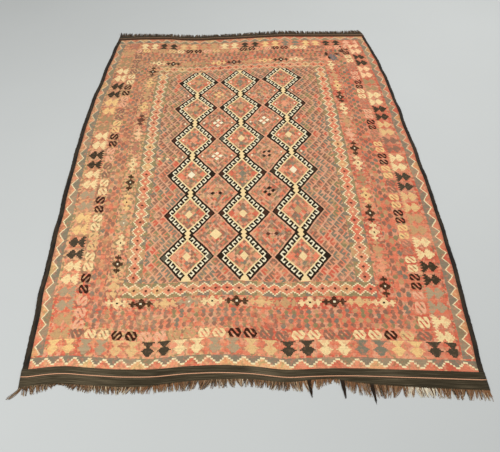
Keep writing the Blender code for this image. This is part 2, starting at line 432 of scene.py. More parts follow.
class Spot:
    # where on the kilim a shading point lies
    def __init__(self, dye):
        self.dye = dye
        place = dye.node("ShaderNodeUVMap", {"uv_map": "pattern"}, {})
        self.rawAcross, self.rawAlong, _ = dye.parts(place)
        across, along = self.rawAcross, self.rawAlong
        for acrossScale, alongScale, detail, widest in layout["strays"]:
            place = dye.joined(self.rawAcross * acrossScale, self.rawAlong * alongScale)
            stray = dye.noise(place, detail=detail, dimensions="2D", output=1)
            strayAcross, strayAlong, self.ragged = dye.parts(stray)
            across = across + (strayAcross - 0.5) * widest
            along = along + (strayAlong - 0.5) * widest
        self.across = ((across / layout["warp"]).floor() + 0.5) * layout["warp"]
        self.along = ((along / layout["weft"]).floor() + 0.5) * layout["weft"]
        self.far = self.along > 0.0
        self.right = self.across > 0.0
        fromFar = (layout["far"] - self.along) / (layout["farScale"] - self.across * layout["farSlant"])
        self.endDepth = (self.along + layout["near"]).least(fromFar)
        self.sideDepth = 1.0 - abs(self.across)
        self.inField = (self.endDepth > field["endDepth"]) * (self.sideDepth > field["sideDepth"])
        # painted shade: the ground is darker towards the far right, where the light is dimmer
        acrossShift, alongShift, middle = layout["toneShift"]
        self.toneShift = self.rawAcross * acrossShift + self.rawAlong * alongShift + middle

    def shaded(self, colour):
        # painted shade: the ground wool made darker towards the far right, where the room's light is
        # dimmer
        return self.dye.scaled(colour, self.toneShift)

    def grain(self, acrossScale, alongScale, seed, detail=2.0):
        # one noise over the cloth, not stepped to its threads
        place = self.dye.joined(self.rawAcross * acrossScale, self.rawAlong * alongScale, seed)
        return self.dye.noise(place, detail=detail)

    def specks(self, acrossScale, alongScale, seed):
        # three separate noises, stepped to the threads
        place = self.dye.joined(self.across * acrossScale, self.along * alongScale, seed)
        return self.dye.parts(self.dye.noise(place, detail=1.0, output=1))

    def border(self, name):
        # along the border line, depth in it as at an end, and masks for the line and its sides
        endOuter, endInner, sideOuter, sideInner = borders[name]
        dye = self.dye
        ends = self.endDepth.between(endOuter, endInner) * (self.sideDepth > sideOuter)
        sides = self.sideDepth.between(sideOuter, sideInner) * (self.endDepth > endInner)
        scale = (endInner - endOuter) / (sideInner - sideOuter)
        fromSide = (self.sideDepth - sideOuter) * scale
        depth = dye.choose(sides, self.endDepth - endOuter, fromSide)
        halfWide = self.endDepth * layout["widens"] + layout["endWide"]
        place = dye.choose(sides, self.across * halfWide, self.along)
        return place, depth, ends + sides, sides

    def wool(self, number, names):
        # the yarn named for a whole number
        return self.dye.steps(number, yarnList(names))

    def woolBySide(self, sides, number, names):
        return self.dye.blend(sides, self.wool(number, names["ends"]), self.wool(number, names["sides"]))

    def picked(self, first, second, third, names):
        # a wool at random for each three whole numbers
        where = self.dye.joined(first, second, third)
        chance = self.dye.node("ShaderNodeTexWhiteNoise", {"noise_dimensions": "3D"}, {"Vector": where})
        return self.wool((chance * len(names.split())).floor(), names)

    def counted(self, place, marks):
        # a whole number at each mark of (number, place), and even steps between
        total, before = None, 0.0
        for (first, start), (second, end) in zip(marks[:-1], marks[1:]):
            slope = (second - first) / (end - start)
            if total is None:
                total = (place - start) * slope + float(first)
            else:
                total = total + (place - start).most(0.0) * (slope - before)
            before = slope
        return total

    def numbered(self, place, places, sides):
        # the number of the motif along the border; those of the far and right ones follow on,
        # and each border keeps to its own numbers
        lines = []
        for first, second, isSecond in (("near", "far", self.far), ("left", "right", self.right)):
            count = places[first][-1][0] + 1
            one = self.counted(place, places[first]).least(count - 0.51)
            other = self.counted(place, places[second]).most(-0.49) + float(count)
            lines.append(self.dye.choose(isSecond, one, other))
        return self.dye.choose(sides, *lines)

    def paired(self, place, places, sides, apart):
        # number of the pair, which one of the two it is, and the place along that one
        number = self.numbered(place, places, sides)
        pair = (number + 0.5).floor()
        half = (number - pair + 0.5) * 2.0
        return pair, half.floor(), (half % 1.0 - 0.5) * self.dye.choose(sides, *apart)


def lozenge(across, along, aside=0.0, beyond=0.0, slope=1.0):
    # how far a point is from the middle of a lozenge, which may lie aside of or beyond the origin
    fromMiddle = abs(across - aside) if aside else across
    fromLevel = abs(along - beyond) if beyond else along
    return fromMiddle + fromLevel * slope


groundValues = {
    "streaks": (3.0, 42.0),  # scales of the noise across and along
    "patches": (3.4, 4.2, 4.0),  # the last is its seed
    "red": {"streak": 2.2, "patch": 2.4, "offset": 1.84, "across": 0.28},
    "speckles": (52.0, 46.0, 6.0),
    "contrast": 11.0,
    # which noise, wool, offset, how much less to the right and at the near end, the most it covers
    "specks": (
        (1, "pink", 5.7, 0.4, 0.8, 0.80),
        (2, "buff", 5.8, 1.2, 1.6, 0.75),
        (0, "dull", 5.6, 0.6, 1.0, 0.85),
    ),
    "dull": (6.0, 2.5, 0.0, 1.0),
    "nearFrom": 0.85,  # the near end is redder from here on
    "nearMost": 0.25,
    "leftward": {"slope": -9.0, "offset": 5.0, "least": 1.0, "most": 3.4},
}


def drawGround(spot):
    # coral wool, redder and paler in streaks along the weft, with small worn and faded spots
    dye, values = spot.dye, groundValues
    acrossScale, alongScale = values["streaks"]
    streak = dye.noise(dye.joined(spot.rawAcross * acrossScale, spot.along * alongScale),
                       detail=3.0, dimensions="2D")
    patch = spot.grain(*values["patches"])
    left, red = values["leftward"], values["red"]
    leftward = (spot.across * left["slope"] - left["offset"]).clamped(left["least"], left["most"])
    nearer = (-spot.along - values["nearFrom"]).clamped(0.0, values["nearMost"]) * leftward
    share = streak * red["streak"] + patch * red["patch"] - red["offset"] + spot.across * red["across"]
    share = (share + nearer).clamped(0.0, 1.0)
    wool = dye.blend(share, yarns["salmon"], dye.blend(share, yarns["coral"], yarns["brick"]))
    speckles = spot.specks(*values["speckles"])
    dull = dye.blend(patch.ramp(*values["dull"]), yarns["olive"], yarns["mauve"])
    wools = {**yarns, "dull": dull}
    for line, name, offset, toRight, atNear, most in values["specks"]:
        share = speckles[line] * values["contrast"] - offset - spot.across * toRight - nearer * atNear
        wool = dye.blend(share.clamped(0.0, most), wool, wools[name])
    return wool


field = {
    "endDepth": 0.446,  # where the field begins, in from the ends
    "sideDepth": 0.475,  # and in from the sides, as a share of the half width
    "columns": 0.2945,  # from one column of diamonds to the next
    "firstColumn": -0.307,
    "rows": ((0, -0.800), (1, -0.507), (2, -0.182), (3, 0.147), (4, 0.487), (5, 0.797)),
    "rowLong": 0.317,
    "lean": {"from": 0.05, "over": 0.15, "above": -0.79, "rise": 0.30, "by": 0.62},  # right columns
    "slope": 0.71,  # a diamond's sides: across plus this much of along
    "reach": 0.1415,  # half a diamond
    "outline": 0.0145,
    "hookStep": 0.0079,  # one of the four steps of a hook
    "hookLong": 0.0460,
    "stemFrom": 0.68,  # shares of that length
    "wedge": {"from": 0.19, "to": 0.28, "step": 0.16},
    "tip": 0.098,
    "tipWide": 0.006,
    "tipDepth": 0.009,
    "whiteTo": 0.084,
    "neck": {"from": 0.080, "step": 0.85, "outline": 0.19, "shorter": 0.10},
    "middle": {"slope": 1.055, "reach": 0.0877},
    "wear": (9.0, 12.0, 9.0),  # scales of the noise across and along, seed
    "ring": 0.0505,  # from one row of hooks to the next, outside the diamonds
    "ringSteps": (5.2, 0.3),  # steps of its hooks, and how far out the first one starts
    "ringLine": 0.19,
    "lattice": 0.0172,  # small lozenges of the ground
    "latticeWear": (2.8, 0.70, 0.35, 0.85),  # contrast, offset, least, most
    "latticeWools": "coral mauve pink slate salmon mauve tan coral brick olive pink mauve",
    "marginWear": (2.8, 0.40, 0.60, 1.0),
    "marginDark": "mauve slate olive mauve slate slate brick mauve",
    "marginPale": "salmon pink tan coral salmon pink",
    "tips": "plum slate bark soot plum soot",
    "heart": 0.0225,  # half of the lozenge in a diamond's middle
    "hearts": "cream cream cream cream cream tan white slate white salmon cream cream "
    "tan tan salmon tan slate tan",
    "beyond": (0.034, 0.0125),  # place and half size of the slate ones above and below it
    "aside": (0.064, 0.0175),  # and of the red ones beside it
    "asideWools": "coral brick coral salmon",
    "dot": 0.0075,
    "neckDot": 0.0593,
    "small": {"aside": 0.056, "beyond": 0.086, "half": 0.014},  # faint ones between the columns
}

# motifs between the columns: half size, where their lozenges lie, and a wool for each, row by row
groups = (
    (0.0330, {"slope": 0.82}, "cream none none none none none none none none none"),
    (0.0145, {"beyond": 0.025}, "none tan tan soot white none white white straw tan"),
    (0.0135, {"aside": 0.021}, "none plum soot soot white none white white straw tan"),
    (0.0125, {"aside": 0.015, "beyond": 0.018}, "none none none none none soot none none none none"),
)


def hookRow(along, step):
    # a stem in the last third of each hook, and a wedge that is longer at every step inward
    inward, wedge = step.floor(), field["wedge"]
    inWedge = (along > wedge["from"]) * (along < inward * wedge["step"] + wedge["to"])
    return (along > field["stemFrom"]).most((inward > 0.5) * inWedge)


class Cell:
    # the diamond of the field that a point is nearest to, and where it lies from its middle
    def __init__(self, spot):
        firstEdge = field["firstColumn"] - field["columns"] / 2
        column = ((spot.across - firstEdge) / field["columns"]).floor().clamped(0.0, 2.0)
        lean = field["lean"]
        rightward = (spot.across - lean["from"]).clamped(0.0, lean["over"])
        leaning = rightward * (spot.along - lean["above"]).clamped(0.0, lean["rise"])
        self.number = spot.counted(spot.along - leaning * lean["by"], field["rows"])
        self.row = (self.number + 0.5).floor().clamped(0.0, 5.0)
        self.past = (self.number < 0.0).most(self.number > 5.0)  # outside of the first and last rows
        self.across = spot.across - (column * field["columns"] + field["firstColumn"])
        self.along = (self.number - self.row) * (field["rowLong"] * field["slope"])
        self.fromCentre, self.fromRow = abs(self.across), abs(self.along)
        self.depth = field["reach"] - (self.fromCentre + self.fromRow)  # in from the outline
        self.onward = self.fromRow - self.fromCentre  # from the side tips to the necks
        self.which = column + self.row * 3.0
        self.fromMiddle = spot.across - (field["firstColumn"] + field["columns"])
        self.wear = spot.grain(*field["wear"])


def fieldGround(spot, cell, colour):
    # small lozenges in mixed wools
    lines = (cell.across + cell.along, cell.across - cell.along)
    first, second = ((line / field["lattice"] + 0.5).floor() for line in lines)
    mixed = spot.picked(first, second, cell.which, field["latticeWools"])
    return spot.shaded(spot.dye.blend(cell.wear.ramp(*field["latticeWear"]), colour, mixed))


def fieldMargin(spot, cell, colour, ground):
    # rows of faint hooks round the outer diamonds, one beyond another, with a pale line between
    dye = spot.dye
    ring = -cell.depth / field["ring"]
    ringNumber, ringDepth = ring.floor(), ring % 1.0
    hookPlace = (cell.onward + field["tip"]) / field["hookLong"] + ringNumber * 0.5
    steps, offset = field["ringSteps"]
    hook = hookRow(hookPlace % 1.0, (1.0 - ringDepth) * steps - offset)
    faint = spot.picked(hookPlace.floor(), ringNumber, cell.which, field["marginDark"])
    paler = spot.picked(hookPlace.floor(), ringNumber + 40.0, cell.which, field["marginPale"])
    margin = dye.blend(hook * 0.95, dye.blend(0.65, colour, paler), faint)
    margin = spot.shaded(dye.blend(cell.wear.ramp(*field["marginWear"]), colour, margin))
    outermost = (abs(cell.fromMiddle) > field["columns"]).most(cell.past)
    outside = dye.blend(outermost, ground, margin)
    return dye.blend(ringDepth.between(0.0, field["ringLine"]) * 0.65, outside, yarns["pink"])


def diamondMiddle(spot, cell, ground):
    # a lozenge, with slate above and below it and red at either side
    beyond, beyondHalf = field["beyond"]
    aside, asideHalf = field["aside"]
    fromBeside = lozenge(cell.fromCentre, cell.fromRow, aside=aside)
    marks = (
        (lozenge(cell.fromCentre, cell.fromRow) < field["heart"], 0.92,
         spot.wool(cell.which, field["hearts"])),
        (lozenge(cell.fromCentre, cell.fromRow, beyond=beyond) < beyondHalf, 0.85, yarns["slate"]),
        (fromBeside < asideHalf, 0.80, spot.picked(cell.which, 1.0, 2.0, field["asideWools"])),
        ((fromBeside < field["dot"]) * (cell.row > 2.5), 0.90, yarns["white"]),
    )
    for where, share, wool in marks:
        ground = spot.dye.blend(where * share, ground, wool)
    return ground


def diamondBand(spot, cell):
    # the hooked band, dark on white
    dye, neck = spot.dye, field["neck"]
    part = ((cell.onward + field["tip"]) / field["hookLong"]) % 1.0
    step = (cell.depth - field["outline"]) / field["hookStep"]
    dark = hookRow(part, step).most(cell.onward < -field["tip"]) * (step < 4.0)
    dark = dark * (cell.onward < field["hookLong"] * 4.0 - field["tip"])
    dark = dark.most((step < 0.0) * (cell.onward < neck["outline"] - cell.past * neck["shorter"]))
    dark = dark.most((step < neck["step"]) * (cell.onward > neck["from"]) * (1.0 - cell.past))
    tip = (cell.onward < field["tipWide"] - field["tip"]) * (cell.depth > field["tipDepth"])
    darkWool = dye.blend(tip * 0.5, yarns["soot"], spot.picked(cell.which, 3.0, 4.0, field["tips"]))
    pale = dye.blend((step < 4.0) * (cell.onward < field["whiteTo"]), yarns["cream"], yarns["white"])
    return dye.blend(dark, pale, darkWool)


def betweenDiamonds(spot, cell, shape):
    # motifs between the columns, level with the necks
    dye, slope, small = spot.dye, field["slope"], field["small"]
    fromLine = abs(field["columns"] / 2 - cell.fromCentre)
    between = cell.number.floor().clamped(0.0, 4.0)
    fromNeck = abs(cell.number - between - 0.5) * field["rowLong"]
    inner = abs(cell.fromMiddle) < field["columns"]
    pair = (cell.fromMiddle > 0.0) + between * 2.0
    beside = lozenge(fromLine, fromNeck, aside=small["aside"], slope=slope)
    faint = beside.least(lozenge(fromLine, fromNeck, beyond=small["beyond"], slope=slope)) < small["half"]
    shape = dye.blend(faint * inner * 0.6 * (cell.depth < 0.0), shape, yarns["slate"])
    dot = lozenge(cell.fromCentre, fromNeck, aside=field["neckDot"], slope=slope) < field["dot"]
    shape = dye.blend(dot * (between > 1.5) * 0.9, shape, yarns["white"])
    for half, place, names in groups:
        where = lozenge(fromLine, fromNeck, **place) < half
        wool = dye.steps(pair, [(*yarns[name], float(name != "none")) for name in names.split()])
        shown = Socket(dye, wool.link.node.outputs["Alpha"])
        shape = dye.blend(where * shown * inner, shape, wool)
    return shape


def drawField(spot, colour):
    # three columns of hooked diamonds, six in each, and what lies between them
    dye, middle = spot.dye, field["middle"]
    cell = Cell(spot)
    ground = fieldGround(spot, cell, colour)
    shape = fieldMargin(spot, cell, colour, ground)
    shape = dye.blend(cell.depth > 0.0, shape, diamondBand(spot, cell))
    inMiddle = lozenge(cell.fromCentre, cell.fromRow, slope=middle["slope"]) < middle["reach"]
    shape = dye.blend(inMiddle, shape, diamondMiddle(spot, cell, ground))
    shape = betweenDiamonds(spot, cell, shape)
    return dye.blend(spot.inField, spot.shaded(colour), shape)


toothPlaces = {
    "near": ((0, -0.865), (4, -0.617), (12, -0.025), (17, 0.37), (20, 0.597), (24, 0.89)),
    "far": ((0, -0.89), (6, -0.465), (11, -0.085), (16, 0.30), (23, 0.84)),
    "left": ((0, -1.333), (4, -1.043), (8, -0.689), (18, 0.26), (28, 1.293)),
    "right": ((0, -1.363), (6, -1.017), (12, -0.597), (17, -0.12), (25, 0.50), (34, 1.293)),
}

# in these and the next values, a pair without a note is for the ends and for the sides
toothValues = {
    "tip": (0.040, 0.0355),  # depth of the cream line at a tooth's tip
    "swing": (0.028, 0.027),  # and how far back it runs between two teeth
    "lineHalf": (0.0042, 0.0030),
    "slateTo": 0.050,
    "wools": "coral salmon straw salmon brick coral",
    "slates": "slate olive slate dove slate",
}


def drawTeeth(spot, colour):
    # teeth between a coral edge and a slate strip, with a cream line that is stepped at the ends
    dye, values = spot.dye, toothValues
    place, depth, where, sides = spot.border("teeth")
    near, far, left, right = (spot.counted(place, marks) for marks in toothPlaces.values())
    number = dye.choose(sides, dye.choose(spot.far, near, far), dye.choose(spot.right, left, right))
    tooth = (number + 0.5).floor()
    swing = abs(number - tooth) * 2.0  # 0 at a tooth's tip, 1 between two
    stepped = (swing * 3.99).floor() / 3.0
    back = dye.choose(sides, stepped, swing) * dye.choose(sides, *values["swing"])
    over = depth - dye.choose(sides, *values["tip"]) + back
    wools = spot.picked(tooth, sides, spot.far, values["wools"])
    colour = dye.blend(where * (over < 0.0) * 0.45, colour, spot.shaded(wools))
    slates = spot.picked(number.floor(), sides, 5.0, values["slates"])
    slates = dye.blend(0.5, yarns["slate"], slates)
    colour = dye.blend(where * (over > 0.0) * (depth < values["slateTo"]) * 0.9, colour, slates)
    line = abs(over) < dye.choose(sides, *values["lineHalf"])
    return dye.blend(where * line * (1.0 - spot.far * 0.4), colour, yarns["ivory"])


crabValues = {
    # half widths of a crab in millimetres, from the tip of its body in to its cap
    "ends": (9, 13, 18, 22, 30, 23, 17, 8, 11, 17, 21, 30),
    "sides": (7, 15, 24, 31, 30, 19, 8, 17, 26, 34, 39, 35),
    "widest": 39.0,
    "step": 0.006,  # depth of one of those steps
    "apart": (0.072, 0.078),  # from one crab to the next
    "tooth": 0.017,  # teeth along the cap at the sides
    "toothTip": 0.0715,
    "toothHigh": 0.011,
    "between": "coral salmon brick coral salmon pink",
}


def drawCrabs(spot, colour):
    # each crab is a stepped lozenge with a wedge on its inner tip, made of twelve steps
    dye, values = spot.dye, crabValues
    place, depth, where, sides = spot.border("crabs")
    pair, single, part = spot.paired(place, crabPlaces, sides, values["apart"])
    row = (depth / values["step"]).floor().clamped(0.0, 11.0)
    reach = (dye.listed(row, values[line], values["widest"]) for line in ("ends", "sides"))
    comb = abs((part / values["tooth"]) % 1.0 - 0.5) * 2.0
    cut = sides * (depth > values["toothTip"] - comb * values["toothHigh"])
    crab = (abs(part) * 1000.0 < dye.choose(sides, *reach)) * where * (1.0 - cut)
    between = spot.shaded(spot.picked(single, pair, sides, values["between"]))
    colour = dye.blend(where * 0.35, colour, between)
    return dye.blend(crab, colour, spot.woolBySide(sides, pair, crabColours))


hookValues = {
    "apart": (0.0605, 0.0570),
    "middle": 0.023,  # depth of their middles
    "scale": (0.97, 0.90),
    "upright": 1.08,  # those at the sides stand across the border
    "turned": (-0.622, -0.555),  # one hook of the near border is turned over: from and to
    "wide": 0.0270,  # half a body
    "high": 0.0222,
    "taper": 0.48,
    "slant": 0.64,
    "slit": (0.0062, 0.0142),  # from and to, at either side of the middle
    "slitEnd": 0.006,
}


def drawHooks(spot, colour):
    # each hook is a body with six sides, less two slanted slits that open at opposite ends
    dye, values = spot.dye, hookValues
    place, depth, where, sides = spot.border("hooks")
    pair, single, along = spot.paired(place, hookPlaces, sides, values["apart"])
    inward = (depth - values["middle"]) * dye.choose(sides, *values["scale"])
    turned = place.between(*values["turned"]) * (1.0 - spot.far)
    sideLean = dye.choose(spot.right, 1.0 - single * 2.0, -1.0)
    lean = dye.choose(sides, 1.0 - turned * 2.0, sideLean)
    wide = dye.choose(sides, along, inward * values["upright"]) * lean
    high = dye.choose(sides, inward, along)
    body = lozenge(abs(wide), abs(high), slope=values["taper"]) < values["wide"]
    body = body * (abs(high) < values["high"])
    slant = wide + high * values["slant"]
    slitFrom, slitTo = values["slit"]
    slitOne = slant.between(-slitTo, -slitFrom) * (high < values["slitEnd"])
    slitTwo = slant.between(slitFrom, slitTo) * (high > -values["slitEnd"])
    hook = body * (1.0 - slitOne.most(slitTwo)) * where
    # the list of the near end starts one hook before its border
    leftCount, nearCount = (float(hookPlaces[line][-1][0] + 1) for line in ("left", "near"))
    number = pair * 2.0 + single
    onSides = dye.blend(spot.right, spot.wool(pair, hookColours["leftSide"]),
                        spot.wool(pair - leftCount, hookColours["rightSide"]))
    atEnds = dye.blend(spot.far, spot.wool(number + 1.0, hookColours["nearEnd"]),
                       spot.wool(number - nearCount * 2.0, hookColours["farEnd"]))
    return dye.blend(hook, colour, dye.blend(sides, atEnds, onSides))


beadValues = {
    "rowWide": (0.024, 0.029),
    "long": (0.034, 0.050),
    "pointed": (3.2, 2.9),
    "flat": 1.3,
    "ragged": (0.9, 0.66),  # how much the noise moves their outline, and its least
    "wools": "slate mauve olive slate mauve tan olive slate mauve coral",
    "gaps": "coral brick pink coral salmon coral",
    "wear": (8.0, 9.0, 2.0),
    "strong": {"contrast": 2.4, "offset": 0.30, "across": 0.25, "least": 0.55, "most": 0.95},
}


def drawBeads(spot, colour):
    # rows of ovals in mixed wools on a redder ground; every second row at the ends, and every row
    # at the sides, lies half a bead on from the last
    dye, values, strong = spot.dye, beadValues, beadValues["strong"]
    place, depth, where, sides = spot.border("beads")
    level = depth / dye.choose(sides, *values["rowWide"])
    row = level.floor()
    number = place / dye.choose(sides, *values["long"]) + dye.choose(sides, (row * 0.5).floor(), row) * 0.5
    pointed = abs(number % 1.0 - 0.5) * dye.choose(sides, *values["pointed"])
    ragged, least = values["ragged"]
    oval = (pointed + abs(level - row - 0.5) * values["flat"]) < (spot.ragged * ragged + least)
    wool = spot.shaded(spot.picked(number.floor(), row, sides, values["wools"]))
    gap = spot.shaded(spot.picked((number + 0.5).floor(), row, sides + 6.0, values["gaps"]))
    share = spot.grain(*values["wear"]) * strong["contrast"] - strong["offset"]
    share = (share + spot.across * strong["across"]).clamped(strong["least"], strong["most"])
    colour = dye.blend(where * share * 0.6, colour, gap)
    return dye.blend(oval * where * share, colour, wool)


crossValues = {
    "apart": (0.112, 0.130),
    "closer": 0.022,  # by so much on the right side
    "stitch": 0.005,
    "middle": 0.032,  # depth of their middles
    "flatter": 0.25,
    "slope": 1.3,
    "body": 0.0275,
    "beside": (0.035, 0.0175),  # place and half size of the smaller lozenges
    "bar": (0.051, 0.003),  # half length and half height
    "dot": 0.0045,
}


def drawCrosses(spot, colour):
    # a lozenge with a smaller one at each side, on a bar, and a dot in its middle
    dye, values = spot.dye, crossValues
    place, depth, where, sides = spot.border("crosses")
    number = spot.numbered(place, crossPlaces, sides)
    motif = (number + 0.5).floor()
    endApart, sideApart = values["apart"]
    sideApart = sideApart - spot.right * values["closer"]
    part = abs(number - motif) * dye.choose(sides, endApart, sideApart)
    level = abs(depth - values["middle"]) * (sides * values["flatter"] + 1.0)
    part, level = ((size / values["stitch"]).floor() * values["stitch"] for size in (part, level))
    aside, asideHalf = values["beside"]
    barLong, barHigh = values["bar"]
    body = part * values["slope"] + level < values["body"]
    beside = abs(part - aside) * values["slope"] + level < asideHalf
    bar = (part < barLong) * (level < barHigh)
    wool = spot.woolBySide(sides, motif, crossColours)
    colour = dye.blend(body.most(beside).most(bar) * where * 0.94, colour, wool)
    dotColours = {line: " ".join(crossDots.get(name, name) for name in names.split())
                  for line, names in crossColours.items()}
    dots = spot.woolBySide(sides, motif, dotColours)
    return dye.blend((part + level < values["dot"]) * where, colour, dots)


chainValues = {
    "ends": ((0, -0.595), (21, 0.57)),
    "sides": ((0, -0.925), (4, -0.685), (14, -0.045), (30, 0.93)),
    "middle": 0.042,  # depth of the links' middles
    "reach": 0.032,
    "step": 0.0072,  # one of the three steps of a link's side
    "lineHalf": 0.0034,
    "dot": 0.0085,
    "dotSlope": 0.03,
    "paleFrom": -0.66,  # from here on every second dot at the sides is pale
    "links": "coral salmon brick straw coral salmon",
    "grounds": "olive slate olive olive slate tan",
}


def drawChain(spot, colour):
    # coral lozenges outlined by two stepped cream lines on an olive ground, each with a dot
    dye, values = spot.dye, chainValues
    place, depth, where, sides = spot.border("chain")
    number = dye.choose(sides, *(spot.counted(place, values[line]) for line in ("ends", "sides")))
    link = (number + 0.5).floor()
    part = abs(number - link) * 2.0
    fromMiddle = abs(depth - values["middle"])
    over = fromMiddle - values["reach"] + (part * 3.0 + 0.5).floor() * values["step"]
    inside = spot.picked(link, sides, 4.0, values["links"])
    ground = spot.picked((number * 2.0).floor(), sides, 3.0, values["grounds"])
    atFar = spot.far * (1.0 - sides)
    colour = dye.blend(where * (over < 0.0) * 0.5, colour, inside)
    colour = dye.blend((over > 0.0) * where * (0.88 - atFar * 0.35), colour, ground)
    line = over.between(-values["lineHalf"], values["lineHalf"])
    colour = dye.blend(line * where * (1.0 - atFar * 0.3), colour, yarns["ivory"])
    dark = 1.0 - sides * (place > values["paleFrom"]) * (link % 2.0)
    dot = part * values["dotSlope"] + fromMiddle < values["dot"]
    return dye.blend(dot * where, colour, dye.blend(dark, yarns["cream"], yarns["plum"]))


# marks that stand alone: across, along, half width, half height, wool
oddMarks = (
    (0.690, 1.105, 0.036, 0.052, "steel"),
    (0.655, 1.155, 0.014, 0.032, "umber"),
    (0.664, 1.098, 0.011, 0.026, "umber"),
    (0.732, 1.155, 0.020, 0.018, "plum"),
    (0.776, 1.195, 0.030, 0.022, "plum"),
    (0.785, 1.262, 0.011, 0.017, "plum"),
    (-0.505, -0.030, 0.012, 0.013, "cream"),
    (-0.455, -0.030, 0.012, 0.013, "cream"),
    (-0.405, -0.035, 0.012, 0.013, "cream"),
)


def drawOdd(spot, colour):
    # lozenges of one wool each
    for across, along, wide, high, name in oddMarks:
        place = abs(spot.across - across) / wide + abs(spot.along - along) / high
        colour = spot.dye.blend(place < 1.0, colour, yarns[name])
    return colour


wearValues = {
    "specks": (70.0, 62.0, 12.0),  # scales of the noise across and along, seed
    "dull": (8.0, 4.6, 0.0, 0.22),  # contrast, offset, the least and the most that they cover
    "red": (8.0, 4.6, 0.0, 0.28),
    "bright": 0.08,  # wools darker than this don't turn red
}


def drawWear(spot, colour):
    # small specks of the borders where the wool has gone dull or red
    dye, values = spot.dye, wearValues
    first, second, _ = spot.specks(*values["specks"])
    border = 1.0 - spot.inField
    colour = dye.blend(first.ramp(*values["dull"]) * border, colour, yarns["mauve"])
    bright = dye.node("ShaderNodeRGBToBW", {}, {0: colour}) > values["bright"]
    return dye.blend(second.ramp(*values["red"]) * border * bright, colour, yarns["coral"])


bandValues = {
    "grain": (7.0, 300.0, 7.0, 3.0),  # scales across and along, seed, detail
    "toneShift": (2.6, 3.0, 17.0, 1.0),
    "light": {"grain": 3.2, "toneShift": 1.2, "offset": 1.95, "paintedShadeAtFar": 0.35},
    "rustTo": 0.020,  # a reddish part at the far end, from the borders out
    "darkFrom": 0.037,
    "stripe": (0.0325, 0.0355),
}


def drawBands(spot, colour):
    # dark plain weave past either end of the borders, with one thin stripe
    dye, values, light = spot.dye, bandValues, bandValues["light"]
    past = (-(spot.rawAlong + layout["near"])).most(spot.rawAlong - layout["far"])
    share = spot.grain(*values["grain"]) * light["grain"] + spot.grain(*values["toneShift"]) * light["toneShift"]
    # painted shade: less of the lighter wool at the far end, where the light is dimmer
    share = (share - light["offset"] - spot.far * light["paintedShadeAtFar"]).clamped(0.0, 1.0)
    wool = dye.blend(share, yarns["dusk"], yarns["flint"])
    wool = dye.blend(past.between(0.0, values["rustTo"]) * spot.far * 0.85, wool, yarns["rust"])
    wool = dye.blend((past > values["darkFrom"]) * spot.far * 0.6, wool, yarns["dusk"])
    wool = dye.blend(past.between(*values["stripe"]) * (0.95 - spot.far * 0.45), wool, yarns["pink"])
    return dye.blend(past > 0.0, colour, wool)


woolValues = {
    "weft": (11.0, 420.0, 1.0),  # single wefts that are lighter or darker
    "fleck": (260.0, 320.0, 5.0, 1.0),
    "uneven": 0.6,
    "least": 0.38,
    "lump": (90.0, 45.0, 3.0),
    "ribHigh": 0.55,
    "threadHigh": 0.25,
    "lumpHigh": 0.9,
    "bump": (0.55, 0.0012),  # strength and metres
}


def weaveHeight(spot):
    # ribs over the warps, and the finer line of each weft across them
    values = woolValues
    rib = abs((spot.rawAcross * (pi / layout["warp"])).sine())
    thread = abs((spot.rawAlong * (pi / layout["weft"])).sine())
    lump = spot.grain(*values["lump"])
    return rib * values["ribHigh"] + thread * values["threadHigh"] + lump * values["lumpHigh"]


def kilimWool():
    dye, values = Shader("kilim_wool"), woolValues
    spot = Spot(dye)
    colour = drawGround(spot)
    # each is drawn over the ones before it
    for draw in (drawField, drawTeeth, drawCrabs, drawHooks, drawBeads, drawCrosses, drawChain,
                 drawOdd, drawWear, drawBands):
        colour = draw(spot, colour)
        print("  drawn:", draw.__name__)
    light = (spot.grain(*values["weft"]) + spot.grain(*values["fleck"])) * values["uneven"]
    colour = dye.scaled(colour, light + values["least"])
    bump = dye.bump(weaveHeight(spot), *values["bump"])
    print("kilim wool has", len(dye.tree.nodes), "nodes")
    return dye.finish(Base_Color=colour, Roughness=0.92, Normal=bump,
                      Sheen_Weight=0.03, Sheen_Roughness=0.6, Specular_IOR_Level=0.10)


# ---- kilim: the cloth ----

clothValues = {
    "columns": 150,
    "fieldRows": 216,
    "bandRows": 7,
    "rippleHigh": 0.0012,  # how far the cloth lifts in soft ripples
    "rippleShare": 0.15,  # more of this makes the ripples wider
}


def ripple(x, y):
    # two crossings of sines, squared so that most of the cloth lies down
    wave = np.sin(17.0 * x + 5.0 * y + 1.0) * np.sin(11.0 * y - 4.0 * x)
    wave = wave + 0.6 * np.sin(29.0 * y + 7.0 * x + 2.0) * np.sin(9.0 * x + 0.4)
    lifted = np.clip(wave * 0.5 + clothValues["rippleShare"], 0.0, 1.0)
    return clothValues["rippleHigh"] * (2.0 * lifted) ** 2


